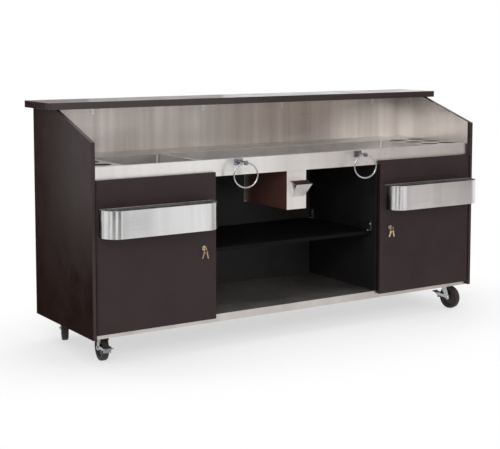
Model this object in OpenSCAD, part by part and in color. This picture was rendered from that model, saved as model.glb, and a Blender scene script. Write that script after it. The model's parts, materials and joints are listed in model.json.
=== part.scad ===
// Mobile bar unit: laminate cabinet on swivel casters, with a bar top, a steel counter
// with an ice bin, a work pan and bottle wells, two locking doors that carry speed rails,
// an open bay with a shelf, a cap catcher and two towel rings.
// The working side faces -Y, the customer side faces +Y, and the floor is z = 0.

/* [Cabinet] */
// Length over the end panels
body_l = 2356; // [2250:1:2480]
// Depth from the door faces to the customer side
body_d = 670; // [640:1:720]
// Height of the bar top above the floor
bar_h = 1222; // [1180:1:1260]
// Thickness of the cabinet boards
panel_t = 19; // [16:0.5:21]
// Height of the end panels' lower edge above the floor
skirt_z = 136; // [131:1:139]
// Height of the end panels' slope below the bar top
slope_h = 130; // [100:1:180]
// Distance that the end panels' slope runs back
slope_d = 393; // [340:1:430]
// Thickness of the steel sheet
sheet_t = 1.5; // [1:0.1:2]
// Height of the steel lip that hangs over the deck's front edge
deck_lip_h = 38; // [30:1:42]
// Distance between the ice bin's insulation and the divider beside it
divider_space = 55.5; // [40:0.5:80]
// Distance of the bay shelf's upper face below the counter
shelf_drop = 445; // [390:1:500]
// Distance that the bay shelf is set back behind the door faces
shelf_setback = 60; // [45:1:120]

/* [Bar top] */
// Thickness of the bar top
top_t = 34; // [28:1:40]
// Depth of the bar top
top_d = 311; // [290:1:340]
// Overhang of the bar top at each end
top_end_overhang = 42; // [20:1:60]
// Overhang of the bar top on the customer side
top_back_overhang = 12; // [2:1:30]
// Corner radius of the bar top
top_corner_r = 6; // [3:1:12]

/* [Doors] */
// Thickness of the doors
door_t = 19; // [16:0.5:21]
// Height of the doors' lower edge
door_bottom_z = 157; // [152:1:164]
// Overlap of each door on the divider's front edge
door_lap = 9; // [5:1:14]
// Gap between the closed doors and the steel behind them
door_back_gap = 0.7; // [0.5:0.1:1.5]
// Thickness of a hinge leaf
leaf_t = 1; // [0.8:0.1:1.4]
// Clearance between the folded hinge leaves
leaf_gap = 1; // [0.6:0.1:1.6]
// Outer radius of the hinge knuckles
knuckle_r = 3; // [2.8:0.1:3.6]
// Radius of the hinge pin
hinge_pin_r = 1.5; // [1.2:0.1:1.8]
// Number of knuckles along each hinge, an odd number
knuckle_n = 15; // [9:2:21]

/* [Door locks] */
// Distance of the lock from the door's free edge
lock_inset = 70; // [60:1:85]
// Distance of the lock below the speed rail
lock_drop = 104; // [90:1:130]
// Radius of the lock barrel
lock_r = 9.5; // [8.5:0.5:11]
// Radius of the lock's face collar
lock_collar_r = 12; // [12:0.5:14]
// Radius of the turning plug
plug_r = 5.5; // [5:0.1:6]
// Radius of the split ring that carries the spare keys
key_ring_r = 8.5; // [8:0.5:11]
// Radius of the split ring's wire
key_wire_r = 0.8; // [0.6:0.1:1]

/* [Speed rails] */
// Depth of the speed rails in front of the doors
rail_d = 110; // [95:1:130]
// Height of the speed rails
rail_h = 130; // [110:1:150]
// Distance of the speed rails' lower edge below the door's upper edge
rail_drop = 263; // [240:1:310]
// Distance between a rail's end and the door's free edge
rail_margin = 22; // [15:1:40]
// Distance between a rail's other end and the door's hinged edge
rail_hinge_margin = 8; // [6:1:30]
// Outer corner radius of the speed rails
rail_r = 80; // [50:1:90]
// Height of the folded hem along the speed rails' upper edge
rail_hem_h = 9; // [6:0.5:14]

/* [Counter] */
// Distance of the counter's upper face below the bar top's
counter_drop = 280; // [260:1:300]
// Height of the counter's front apron
apron_h = 83; // [75:1:95]
// Height of the folded hem along the apron's lower edge
hem_h = 23; // [15:1:30]
// Width of the counter's front rim
rim_d = 24; // [24:1:32]
// Front-to-back length of the pans in the counter
pan_d = 386; // [370:1:410]
// Corner radius of the pans
pan_r = 14; // [10:1:20]
// Width of the flange that hangs a pan under the counter
flange_w = 9; // [7:0.5:10]
// Depth of the work pan
work_pan_depth = 72; // [55:1:75]
// Width of the ice bin
ice_w = 390; // [360:1:420]
// Depth of the ice bin
ice_depth = 262; // [220:1:290]
// Thickness of the ice bin's insulation
foam_t = 20; // [15:1:20]
// Radius of the ice bin's drain pipe
drain_r = 16; // [13:0.5:20]
// Counter left between two neighbouring pans
pan_gap = 22; // [21:1:30]
// Counter left beside the end panels
ledge_margin = 19; // [18:1:28]
// Depth of the bottle wells
well_depth = 190; // [160:1:220]
// Radius of a bottle hole
bottle_hole_r = 50; // [42:0.5:54]
// Distance between bottle holes along the unit
bottle_pitch = 130; // [120:1:140]
// Distance from a bottle hole's centre to its well's wall
bottle_edge = 60; // [58:1:66]
// Rows of bottle holes from front to back
bottle_rows = 3; // [2:1:3]

/* [Cap catcher] */
// Width of the housing under the counter
housing_w = 121; // [110:1:130]
// Height of the housing
housing_h = 213.5; // [190:0.5:250]
// Thickness of the housing's boards
housing_t = 12; // [9:1:15]
// Distance of the housing's face plate behind the door faces
housing_setback = 48; // [46:1:70]
// Amount that the rear hanger plate stands out beside the housing
hanger_side = 15; // [8:1:25]
// Width of the catcher pocket at its mouth
pocket_w = 104; // [90:1:106]
// Width of the catcher pocket at its foot
pocket_foot_w = 78; // [66:1:84]
// Height of the catcher pocket
pocket_h = 86; // [70:1:95]
// Distance that the pocket's mouth stands out
pocket_d = 62; // [45:1:70]
// Distance of the pocket's front edge below its back edge
pocket_dip = 15; // [0:1:25]
// Height of the pocket's foot above the housing's lower face
pocket_lift = 62; // [45:1:75]

/* [Towel rings] */
// Distance of each towel ring from the divider
ring_inset = 132; // [100:1:160]
// Distance of the towel rings' pivots below the counter
ring_drop = 18; // [17:1:24]
// Distance of the ring pivots in front of the apron
ring_reach = 70; // [60:1:80]
// Radius of a ring at the middle of its wire
ring_r = 61; // [55:1:68]
// Radius of the ring wire
ring_wire_r = 4; // [3.5:0.1:4.5]
// Angle in degrees that both rings have turned to in their knobs, seen from above
ring_turn = -15; // [-15:1:15]
// Length of the knob that each ring passes through
knob_l = 16; // [12:1:18]

/* [Casters] */
// Wheel radius
wheel_r = 63.5; // [58:0.5:66]
// Wheel tread width
wheel_w = 32; // [28:1:34]
// Distance from the swivel axis to the axle
trail = 38; // [34:1:42]
// Overall height of a caster
caster_h = 152; // [148:1:160]
// Distance of the swivel axes from the end panels
caster_inset = 84; // [60:1:100]
// Distance of the front swivel axes behind the door faces
caster_front = 98; // [95:1:150]
// Distance of the back swivel axes from the customer side
caster_back = 120; // [95:1:150]
// Radius of the axle bolts
axle_r = 4; // [3.5:0.1:5]
// Thickness of the fork legs
leg_t = 3; // [2.5:0.1:4]
// Radius of the kingpins
kingpin_r = 6; // [5:0.5:7]

/* [Hidden] */
$fn = 48;
// Radial clearance of a running fit
run_fit = 0.05;
// Gap between faces that slide past each other
slide_gap = 0.3;
// Extra length of a cutting shape past the face that it cuts
cut = 1;

// Frame: the origin lies under the middle of the whole unit
overall_d = rail_d + body_d + top_back_overhang;
front_y = rail_d - overall_d / 2;
inner_x = body_l / 2 - panel_t;
top_under_z = bar_h - top_t;
shoulder_z = top_under_z - slope_h;
counter_z = bar_h - counter_drop;

// Planes behind the door faces
steel_y = door_t + door_back_gap + sheet_t;
carcass_y = steel_y + sheet_t;
customer_y = body_d - panel_t;
back_y = customer_y - panel_t;
deck_under_z = caster_h;
deck_z = deck_under_z + panel_t + sheet_t;

// Counter layout from left to right
counter_under_z = counter_z - sheet_t;
pan_y = steel_y + rim_d;
well_d = pan_d;
left_well_w = 2 * bottle_edge;
right_well_w = bottle_pitch + 2 * bottle_edge;
left_well_x = -inner_x + ledge_margin;
right_well_x = inner_x - ledge_margin - right_well_w;
// Room for the insulation and for the neighbouring pan's flange
foam_room = 10;
ice_gap = foam_t + foam_room;
ice_x = left_well_x + left_well_w + ice_gap;
work_x = ice_x + ice_w + ice_gap;
work_w = right_well_x - pan_gap - work_x;
divider_out_x = -(ice_x + ice_w + sheet_t + foam_t + divider_space);
divider_x = divider_out_x - panel_t;
shelf_z = counter_z - shelf_drop;
row_pitch = (well_d - 2 * bottle_edge) / (bottle_rows - 1);
plate_edge = 2;
plate_lap = flange_w - plate_edge;
end_flange_h = 25;
apron_return = 13;
work_under_z = counter_z - work_pan_depth - sheet_t;
ice_floor_z = counter_z - ice_depth;
drain_flange_w = 14;
drain_flange_r = drain_r + drain_flange_w;
drain_flange_t = 2;
drain_wall = 3;
drain_below = 40;
drain_cap_wall = 4;
drain_cap_h = 18;

// Doors, hinges, speed rails and locks
door_gap = 2 * leaf_t + leaf_gap;
door_out_x = inner_x - door_gap;
door_in_x = divider_out_x - door_lap;
door_w = door_out_x - door_in_x;
door_top_z = counter_z - apron_h + hem_h;
hinge_x = inner_x - door_gap / 2;
hinge_y = -knuckle_r - slide_gap;
leaf_inset = 2;
leaf_w = door_t - leaf_inset;
hinge_end = 8;
hinge_bottom_z = door_bottom_z + hinge_end;
hinge_h = door_top_z - door_bottom_z - 2 * hinge_end;
knuckle_pitch = hinge_h / knuckle_n;
knuckle_space = 0.4;
pin_head_h = 1.5;
pin_head_lip = 0.9;
rail_x = door_in_x + rail_margin;
rail_w = door_w - rail_margin - rail_hinge_margin;
rail_z = door_top_z - rail_drop;
lock_x = door_in_x + lock_inset;
lock_z = rail_z - lock_drop;
collar_t = 2.5;
lock_nut_t = 6;
lock_nut_wall = 4.5;
lock_nut_r = lock_r + lock_nut_wall;
plug_proud = 0.8;
cam_t = 2.5;
cam_w = 14;
cam_y = door_t + lock_nut_t + slide_gap;
strike_w = 22;
strike_h = 40;
strike_t = 1.5;
strike_lap = 12;
cam_l = lock_inset - door_lap - strike_w + strike_lap;
key_t = 2;
key_bow_r = 9;
key_blade_w = 7;
key_blade_l = 26;
key_hole_r = 2 * key_wire_r;
key_neck = 6;
key_bow_y = -collar_t - plug_proud - key_bow_r - key_neck;
key_hole_drop = 4;
key_spread = 35;

// Cap catcher
plate_y = housing_setback;
housing_y = plate_y + sheet_t;
housing_d = pan_y + pan_d - housing_y - sheet_t;
housing_z = work_under_z - housing_h;
pocket_shift = (housing_w - pocket_w) / 2 - sheet_t;
pocket_z = housing_z + pocket_lift;

// Towel rings
mount_w = 46;
mount_h = 34;
mount_t = 7;
post_r = 8;
knob_r = 11;
ring_x = divider_x - ring_inset;
ring_y = steel_y - ring_reach;
ring_z = counter_z - ring_drop;
ring_play = 0.8;
ring_hole_r = ring_wire_r + ring_play;
ring_flare = 18;

// Brackets
bracket_t = 2;
bracket_w = 20;
shelf_bracket_h = 50;
shelf_bracket_d = 25;
top_bracket_h = 48;
top_bracket_d = 26;
top_bracket_end = 239;
top_bracket_far = inner_x - top_bracket_end;
top_bracket_near = 260;
top_bracket_shift = 57;
side_bracket_y = 510;
liner_inset = 9;

// Casters: side, front or back, and the heading of the trailing wheel in degrees
FRONT_LEFT = [-1, 0, 84];
FRONT_RIGHT = [1, 0, 277];
BACK_LEFT = [-1, 1, 70];
BACK_RIGHT = [1, 1, 284];
CASTERS = [FRONT_LEFT, FRONT_RIGHT, BACK_LEFT, BACK_RIGHT];
plate_l = 92;
plate_w = 66;
plate_t = 3;
plate_corner_r = 10;
bolt_x = 74;
bolt_y = 46;
bolt_hole_r = 4.2;
race_r = 30;
race_h = 8;
crown_r = 32;
crown_h = 6;
crown_z = caster_h - plate_t - race_h - slide_gap;
leg_space = 3;
leg_in = wheel_w / 2 + leg_space;
leg_out = leg_in + leg_t;
hub_half = leg_in - slide_gap;
hub_r = 17;
boss_r = 13;
leg_top_w = 46;
tread_r = 5;
web_w = 14;
tyre_t = 14;
rim_r = wheel_r - tyre_t;
axle_head_r = 7.5;
axle_head_t = 5;
pedal_space = 12.5;
pedal_x = trail - wheel_r - pedal_space;
pedal_rise = 8.5;
pedal_z = wheel_r + pedal_rise;
pedal_pin_r = 3;
pedal_barrel_r = 6;
ear_w = 13;
pedal_l = 40;
pedal_plate_t = 4;
pedal_tilt = 14;
shoe_t = 8;
shoe_h = 20;

STEEL = [0.80, 0.79, 0.77];
LAMINATE = [0.24, 0.20, 0.21];
BLACK = [0.05, 0.05, 0.05];
CHROME = [0.86, 0.87, 0.88];
BRASS = [0.78, 0.62, 0.30];
ZINC = [0.72, 0.73, 0.74];
FOAM = [0.93, 0.90, 0.78];
RUBBER = [0.10, 0.10, 0.10];

// Shared shapes

// Places its children behind the plane of the door faces
module at_front() {
    translate([0, front_y, 0]) children();
}

// Draws its children, made for the right-hand side, on the given side
module on_side(side) {
    if (side > 0) children();
    else mirror([1, 0, 0]) children();
}

// Box between two corners
module block(low, high) {
    translate(low) cube(high - low);
}

// Rectangle with round corners, from the origin
module round_rect(w, d, r) {
    translate([r, 0]) square([w - 2 * r, d]);
    translate([0, r]) square([w, d - 2 * r]);
    for (x = [r, w - r], y = [r, d - r])
        translate([x, y]) circle(r);
}

// Cylinder along +Y
module y_cylinder(r, h) {
    rotate([-90, 0, 0]) cylinder(r = r, h = h);
}

// Cylinder along X, centred
module x_cylinder(r, h) {
    rotate([0, 90, 0]) cylinder(r = r, h = h, center = true);
}

// Angle bracket with one leg up the wall at x = 0 and one leg along the floor towards -X
module angle_bracket(height, reach) {
    translate([-bracket_t, 0, 0]) cube([bracket_t, bracket_w, height]);
    translate([-reach, 0, 0]) cube([reach, bracket_w, bracket_t]);
}

// Cabinet boards

module end_panel() {
    color(LAMINATE) at_front() translate([inner_x, 0, 0])
        rotate([90, 0, 90]) linear_extrude(panel_t)
            polygon([
                [0, skirt_z], [body_d, skirt_z], [body_d, top_under_z],
                [slope_d, top_under_z], [0, shoulder_z]
            ]);
}

module left_end_panel() {
    on_side(-1) end_panel();
}

module right_end_panel() {
    on_side(1) end_panel();
}

module customer_panel() {
    color(LAMINATE) at_front()
        block([-inner_x, customer_y, skirt_z], [inner_x, body_d, top_under_z]);
}

module inner_back_panel() {
    color(BLACK) at_front()
        block([-inner_x, back_y, deck_z], [inner_x, customer_y, counter_under_z]);
}

module divider() {
    color(BLACK) at_front()
        block([divider_x, carcass_y, deck_z], [divider_out_x, back_y, work_under_z]);
}

module left_divider() {
    on_side(-1) divider();
}

module right_divider() {
    on_side(1) divider();
}

module deck_board() {
    color(BLACK) at_front()
        block([-inner_x, carcass_y, deck_under_z], [inner_x, customer_y, deck_z - sheet_t]);
}

// Steel sheet over the deck, folded down over its front edge
module deck_skin() {
    color(STEEL) at_front() {
        block([-inner_x, steel_y, deck_z - sheet_t], [inner_x, customer_y, deck_z]);
        block([-inner_x, steel_y, deck_z - deck_lip_h], [inner_x, carcass_y, deck_z]);
    }
}

module bay_shelf() {
    color(BLACK) at_front()
        block([-divider_x, shelf_setback, shelf_z - panel_t], [divider_x, back_y, shelf_z]);
}

// Angles that hold the shelf to the dividers
module shelf_brackets() {
    color(ZINC) at_front()
        for (side = [-1, 1], y = [shelf_setback + bracket_t, back_y - 2 * bracket_w])
            on_side(side) translate([divider_x, y, shelf_z])
                angle_bracket(shelf_bracket_h, shelf_bracket_d);
}

// Bar top and the wall behind the counter

module bar_top() {
    color(LAMINATE) at_front()
        translate([-body_l / 2 - top_end_overhang, body_d + top_back_overhang - top_d, top_under_z])
            linear_extrude(top_t)
                round_rect(body_l + 2 * top_end_overhang, top_d, top_corner_r);
}

// Angles that hold the bar top to the walls
module bar_top_brackets() {
    wall_x = inner_x - sheet_t;
    color(ZINC) at_front() {
        for (x = [-top_bracket_far, -top_bracket_near, top_bracket_near, top_bracket_far])
            translate([x + top_bracket_shift, customer_y - sheet_t, top_under_z]) {
                block([-bracket_w / 2, -bracket_t, -top_bracket_h], [bracket_w / 2, 0, 0]);
                block([-bracket_w / 2, -top_bracket_d, -bracket_t], [bracket_w / 2, 0, 0]);
            }
        for (side = [-1, 1])
            on_side(side) translate([wall_x, side_bracket_y, top_under_z])
                mirror([0, 0, 1]) angle_bracket(top_bracket_h, top_bracket_d);
    }
}

module backsplash() {
    color(STEEL) at_front()
        block([-inner_x + sheet_t, customer_y - sheet_t, counter_z],
              [inner_x - sheet_t, customer_y, top_under_z]);
}

// Steel lining of the end panels above the counter
module side_liners() {
    slope_rise = (top_under_z - shoulder_z) / slope_d;
    color(STEEL) at_front()
        for (side = [-1, 1])
            on_side(side) translate([inner_x - sheet_t, 0, 0])
                rotate([90, 0, 90]) linear_extrude(sheet_t)
                    polygon([
                        [steel_y, counter_z], [customer_y, counter_z],
                        [customer_y, top_under_z], [slope_d + liner_inset, top_under_z],
                        [steel_y, shoulder_z + (steel_y - liner_inset) * slope_rise]
                    ]);
}

// Counter

// Footprint of a pan, grown by the given amount
module pan_outline(x, w, grow) {
    translate([x - grow, pan_y - grow])
        round_rect(w + 2 * grow, pan_d + 2 * grow, pan_r + grow);
}

// Sheet with cut-outs for the pans, folded down in front and at both ends
module counter_top() {
    color(STEEL) at_front() {
        difference() {
            block([-inner_x, steel_y, counter_under_z], [inner_x, customer_y, counter_z]);
            translate([0, 0, counter_under_z - cut]) linear_extrude(sheet_t + 2 * cut) {
                pan_outline(left_well_x, left_well_w, 0);
                pan_outline(ice_x, ice_w, 0);
                pan_outline(work_x, work_w, 0);
                pan_outline(right_well_x, right_well_w, 0);
            }
        }
        block([-inner_x, steel_y, counter_z - apron_h], [inner_x, carcass_y, counter_z]);
        block([-inner_x, steel_y - sheet_t, counter_z - apron_h],
              [inner_x, steel_y, counter_z - apron_h + hem_h]);
        block([-divider_x, steel_y, counter_z - apron_h],
              [divider_x, carcass_y + apron_return, counter_z - apron_h + sheet_t]);
        for (side = [-1, 1])
            on_side(side)
                block([inner_x - sheet_t, steel_y, counter_z - end_flange_h],
                      [inner_x, back_y, counter_z]);
    }
}

// Open pan of sheet steel that hangs under the counter by its flange
module pan(x, w, depth) {
    floor_z = counter_z - depth;
    difference() {
        union() {
            translate([0, 0, floor_z - sheet_t])
                linear_extrude(counter_under_z - floor_z + sheet_t) pan_outline(x, w, sheet_t);
            translate([0, 0, counter_under_z - sheet_t])
                linear_extrude(sheet_t) pan_outline(x, w, flange_w);
        }
        translate([0, 0, floor_z]) linear_extrude(depth + cut) pan_outline(x, w, 0);
    }
}

module work_pan() {
    color(STEEL) at_front() pan(work_x, work_w, work_pan_depth);
}

module left_bottle_well() {
    color(STEEL) at_front() pan(left_well_x, left_well_w, well_depth);
}

module right_bottle_well() {
    color(STEEL) at_front() pan(right_well_x, right_well_w, well_depth);
}

module ice_bin_liner() {
    color(STEEL) at_front() difference() {
        pan(ice_x, ice_w, ice_depth);
        drain_bore(drain_r + run_fit);
    }
}

// Vertical cylinder on the drain's axis, through the bin's floor and insulation
module drain_bore(r) {
    translate([ice_x + ice_w / 2, pan_y + pan_d / 2, ice_floor_z - sheet_t - foam_t - cut])
        cylinder(r = r, h = sheet_t + foam_t + 2 * cut);
}

// Foam jacket round the ice bin
module ice_bin_insulation() {
    jacket = sheet_t + foam_t;
    color(FOAM) at_front() difference() {
        block([ice_x - jacket, pan_y - jacket, ice_floor_z - jacket],
              [ice_x + ice_w + jacket, pan_y + pan_d + jacket, counter_under_z - sheet_t]);
        translate([0, 0, ice_floor_z - sheet_t]) linear_extrude(ice_depth)
            pan_outline(ice_x, ice_w, sheet_t + run_fit);
        drain_bore(drain_r + slide_gap);
    }
}

// Drain with a flange in the bin's floor and a screw cap below the insulation
module ice_bin_drain() {
    drain_l = sheet_t + foam_t + drain_below;
    cap_r = drain_r + drain_cap_wall;
    color(CHROME) at_front()
        translate([ice_x + ice_w / 2, pan_y + pan_d / 2, ice_floor_z]) {
            difference() {
                union() {
                    cylinder(r = drain_flange_r, h = drain_flange_t);
                    translate([0, 0, -drain_l]) cylinder(r = drain_r, h = drain_l + drain_flange_t);
                    translate([0, 0, -drain_l]) cylinder(r = cap_r, h = drain_cap_h);
                }
                translate([0, 0, drain_cap_h / 2 - drain_l])
                    cylinder(r = drain_r - drain_wall, h = drain_l + drain_flange_t);
            }
        }
}

// Lift-out plate with bottle holes over a well
module well_plate(x, w, columns) {
    translate([0, 0, counter_z]) linear_extrude(sheet_t) difference() {
        pan_outline(x, w, plate_lap);
        for (column = [0 : columns - 1], row = [0 : bottle_rows - 1])
            translate([x + bottle_edge + column * bottle_pitch, pan_y + bottle_edge + row * row_pitch])
                circle(bottle_hole_r);
    }
}

module left_well_plate() {
    color(STEEL) at_front() well_plate(left_well_x, left_well_w, 1);
}

module right_well_plate() {
    color(STEEL) at_front() well_plate(right_well_x, right_well_w, 2);
}

// Housing and cap catcher under the counter

// Two side boards and a floor that hang under the work pan
module centre_housing() {
    half = housing_w / 2;
    color(LAMINATE) at_front() difference() {
        block([-half, housing_y, housing_z], [half, housing_y + housing_d, work_under_z]);
        block([housing_t - half, housing_y - cut, housing_z + housing_t],
              [half - housing_t, housing_y + housing_d + cut, work_under_z + cut]);
    }
}

module housing_hanger() {
    half = housing_w / 2 + hanger_side;
    y = housing_y + housing_d;
    color(STEEL) at_front() block([-half, y, housing_z], [half, y + sheet_t, work_under_z]);
}

module catcher_plate() {
    color(STEEL) at_front()
        block([-housing_w / 2, plate_y, housing_z], [housing_w / 2, housing_y, work_under_z]);
}

// Wedge with the given side profile that narrows towards its foot, less a wall at each side
module pocket_wedge(side_profile, wall) {
    mouth = pocket_w / 2 - wall;
    foot = pocket_foot_w / 2 - wall;
    flare = (mouth - foot) / pocket_h;
    top = pocket_h + cut;
    intersection() {
        translate([0, cut, 0]) rotate([90, 0, 0]) linear_extrude(pocket_d + 2 * cut)
            polygon([[-foot, 0], [foot, 0], [foot + flare * top, top], [-foot - flare * top, top]]);
        rotate([90, 0, 90]) linear_extrude(2 * pocket_w, center = true) polygon(side_profile);
    }
}

// Scoop that catches bottle caps, open at the top
module cap_catcher() {
    lip = pocket_h - pocket_dip;
    slope = pocket_d / lip;
    lift = sheet_t * sqrt(1 + slope * slope) / slope;
    top = pocket_h + cut;
    outside = [[0, 0], [0, pocket_h], [-pocket_d, lip]];
    inside = [
        [-sheet_t, lift + sheet_t / slope], [-sheet_t, top], [-slope * (top - lift), top]
    ];
    color(STEEL) at_front() translate([pocket_shift, plate_y, pocket_z]) difference() {
        pocket_wedge(outside, 0);
        pocket_wedge(inside, sheet_t);
    }
}

// Towel rings

// Hole that widens towards both ends of the knob, so that a ring can turn in it
module knob_hole() {
    h = knob_l / 2 + cut;
    for (turn = [-90, 90])
        rotate([0, turn, 0]) cylinder(r1 = ring_hole_r, r2 = ring_hole_r + h * tan(ring_flare), h = h);
}

module ring_mount() {
    difference() {
        union() {
            block([-mount_w / 2, steel_y - mount_t, ring_z - mount_h / 2],
                  [mount_w / 2, steel_y, ring_z + mount_h / 2]);
            translate([0, ring_y, ring_z]) y_cylinder(post_r, ring_reach - mount_t);
            translate([0, ring_y, ring_z]) x_cylinder(knob_r, knob_l);
        }
        translate([0, ring_y, ring_z]) knob_hole();
    }
}

module ring_mounts() {
    color(CHROME) at_front()
        for (side = [-1, 1])
            translate([side * ring_x, 0, 0]) ring_mount();
}

module towel_ring(side) {
    color(CHROME) at_front() translate([side * ring_x, ring_y, ring_z - ring_r])
        rotate([90, 0, ring_turn]) rotate_extrude($fn = 96)
            translate([ring_r, 0]) circle(ring_wire_r);
}

module left_towel_ring() {
    towel_ring(-1);
}

module right_towel_ring() {
    towel_ring(1);
}

// Doors

module door() {
    color(LAMINATE) at_front() difference() {
        block([door_in_x, 0, door_bottom_z], [door_out_x, door_t, door_top_z]);
        translate([lock_x, -cut, lock_z]) y_cylinder(lock_r + run_fit, door_t + 2 * cut);
    }
}

module left_door() {
    on_side(-1) door();
}

module right_door() {
    on_side(1) door();
}

// Every second knuckle of a hinge, starting with the given one, on the hinge axis
module knuckles(first) {
    for (i = [first : 2 : knuckle_n - 1])
        translate([0, 0, i * knuckle_pitch + knuckle_space / 2])
            cylinder(r = knuckle_r, h = knuckle_pitch - knuckle_space);
}

// Half of a continuous hinge: a leaf whose near face lies at the given x, and its knuckles
module hinge_half(first, leaf_x) {
    leaf_front = knuckle_r + slide_gap;
    at_front() translate([hinge_x, hinge_y, hinge_bottom_z]) difference() {
        union() {
            knuckles(first);
            translate([leaf_x, leaf_front + slide_gap, 0]) cube([leaf_t, leaf_w, hinge_h]);
            for (i = [first : 2 : knuckle_n - 1])
                translate([leaf_x, hinge_pin_r + slide_gap, i * knuckle_pitch + knuckle_space / 2])
                    cube([leaf_t, leaf_w, knuckle_pitch - knuckle_space]);
        }
        translate([0, 0, -cut]) cylinder(r = hinge_pin_r + run_fit, h = hinge_h + 2 * cut);
    }
}

module hinge_frame_leaves() {
    color(ZINC)
        for (side = [-1, 1])
            on_side(side) hinge_half(0, door_gap / 2 - leaf_t);
}

module left_hinge_door_leaf() {
    color(ZINC) on_side(-1) hinge_half(1, -door_gap / 2);
}

module right_hinge_door_leaf() {
    color(ZINC) on_side(1) hinge_half(1, -door_gap / 2);
}

module hinge_pins() {
    pin_head_r = hinge_pin_r + pin_head_lip;
    color(ZINC)
        for (side = [-1, 1])
            on_side(side) at_front() translate([hinge_x, hinge_y, hinge_bottom_z]) {
                translate([0, 0, -pin_head_h])
                    cylinder(r = hinge_pin_r, h = hinge_h + 2 * pin_head_h);
                translate([0, 0, -pin_head_h]) cylinder(r = pin_head_r, h = pin_head_h);
                translate([0, 0, hinge_h]) cylinder(r = pin_head_r, h = pin_head_h);
            }
}

// Footprint of a speed rail with round front corners, shrunk inside by the given wall
module rail_outline(wall) {
    r = rail_r - wall;
    w = rail_w - 2 * wall;
    d = rail_d - 2 * wall;
    translate([rail_x + wall, -rail_d + wall]) intersection() {
        square([w, d]);
        union() {
            translate([0, r]) square([w, d]);
            translate([r, 0]) square([w - 2 * r, d]);
            for (x = [r, w - r])
                translate([x, r]) circle(r, $fn = 64);
        }
    }
}

// Steel trough on the door's face, with its upper edge folded in
module speed_rail() {
    color(STEEL) at_front() translate([0, 0, rail_z]) difference() {
        linear_extrude(rail_h) rail_outline(0);
        translate([0, 0, sheet_t]) linear_extrude(rail_h - rail_hem_h - sheet_t) rail_outline(sheet_t);
        translate([0, 0, rail_h - rail_hem_h - cut]) linear_extrude(rail_hem_h + 2 * cut)
            rail_outline(2 * sheet_t);
    }
}

module left_speed_rail() {
    on_side(-1) speed_rail();
}

module right_speed_rail() {
    on_side(1) speed_rail();
}

// Locks

module at_lock() {
    at_front() translate([lock_x, 0, lock_z]) children();
}

module lock_barrel() {
    color(CHROME) at_lock() difference() {
        union() {
            translate([0, -collar_t, 0]) y_cylinder(lock_collar_r, collar_t);
            y_cylinder(lock_r, door_t + lock_nut_t);
            translate([0, door_t, 0]) rotate([-90, 0, 0])
                cylinder(r = lock_nut_r, h = lock_nut_t, $fn = 6);
        }
        translate([0, -collar_t - cut, 0])
            y_cylinder(plug_r + run_fit, collar_t + door_t + lock_nut_t + 2 * cut);
    }
}

module left_lock_barrel() {
    on_side(-1) lock_barrel();
}

module right_lock_barrel() {
    on_side(1) lock_barrel();
}

// Flat key in the YZ plane: the hole's centre is the origin and the blade points to -Z
module key_blank(hole_drop) {
    rotate([90, 0, 90]) linear_extrude(key_t, center = true) difference() {
        union() {
            translate([0, -key_bow_r + hole_drop]) circle(key_bow_r);
            translate([-key_blade_w / 2, -2 * key_bow_r - key_blade_l + hole_drop])
                square([key_blade_w, key_bow_r + key_blade_l]);
        }
        circle(key_hole_r);
    }
}

// Turning plug with its cam behind the door and the key in its face
module lock_plug() {
    plug_front = -collar_t - plug_proud;
    color(BRASS) at_lock() {
        translate([0, plug_front, 0]) y_cylinder(plug_r, cam_y + cam_t - plug_front);
        translate([0, cam_y + cam_t, 0]) rotate([90, 0, 0]) linear_extrude(cam_t) {
            circle(cam_w / 2);
            translate([-cam_w / 2, -cam_l + cam_w / 2]) square([cam_w, cam_l - cam_w / 2]);
            translate([0, -cam_l + cam_w / 2]) circle(cam_w / 2);
        }
        rotate([90, 0, 90]) linear_extrude(key_t, center = true) difference() {
            union() {
                translate([key_bow_y, 0]) circle(key_bow_r);
                translate([key_bow_y, -key_blade_w / 2])
                    square([plug_front - key_bow_y + plug_proud, key_blade_w]);
            }
            translate([key_bow_y, -key_hole_drop]) circle(key_hole_r);
        }
    }
}

module left_lock_plug() {
    on_side(-1) lock_plug();
}

module right_lock_plug() {
    on_side(1) lock_plug();
}

// Split ring through the key's bow, with two spare keys hanging from it
module keys() {
    hang = key_hole_r - key_wire_r - slide_gap;
    color(BRASS) at_lock() translate([0, key_bow_y, -key_hole_drop - key_ring_r]) {
        rotate([90, 0, 0]) rotate_extrude()
            translate([key_ring_r, 0]) circle(key_wire_r, $fn = 16);
        for (turn = [-key_spread, key_spread])
            rotate([0, turn, 0]) translate([0, 0, -key_ring_r - hang]) key_blank(key_hole_drop);
    }
}

module left_keys() {
    on_side(-1) keys();
}

module right_keys() {
    on_side(1) keys();
}

// Angles on the dividers that the turned cams reach behind
module lock_strikes() {
    color(ZINC) at_front()
        for (side = [-1, 1])
            on_side(side) translate([divider_out_x, carcass_y, lock_z - strike_h / 2]) {
                cube([strike_w, strike_t, strike_h]);
                cube([strike_t, strike_w, strike_h]);
            }
}

// Casters

// Swivel axis of a caster, in the unit's frame
function caster_place(caster) = [
    caster[0] * (inner_x - caster_inset),
    front_y + (caster[1] == 0 ? caster_front : body_d - caster_back),
    0
];

// Places its children on a caster's swivel axis, with the wheel trailing along +X
module at_caster(caster) {
    translate(caster_place(caster)) rotate([0, 0, caster[2]]) children();
}

// Extrudes a side profile drawn in X and Z between two values of Y
module leg_slice(from, to) {
    translate([0, to, 0]) rotate([90, 0, 0]) linear_extrude(to - from) children();
}

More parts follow.
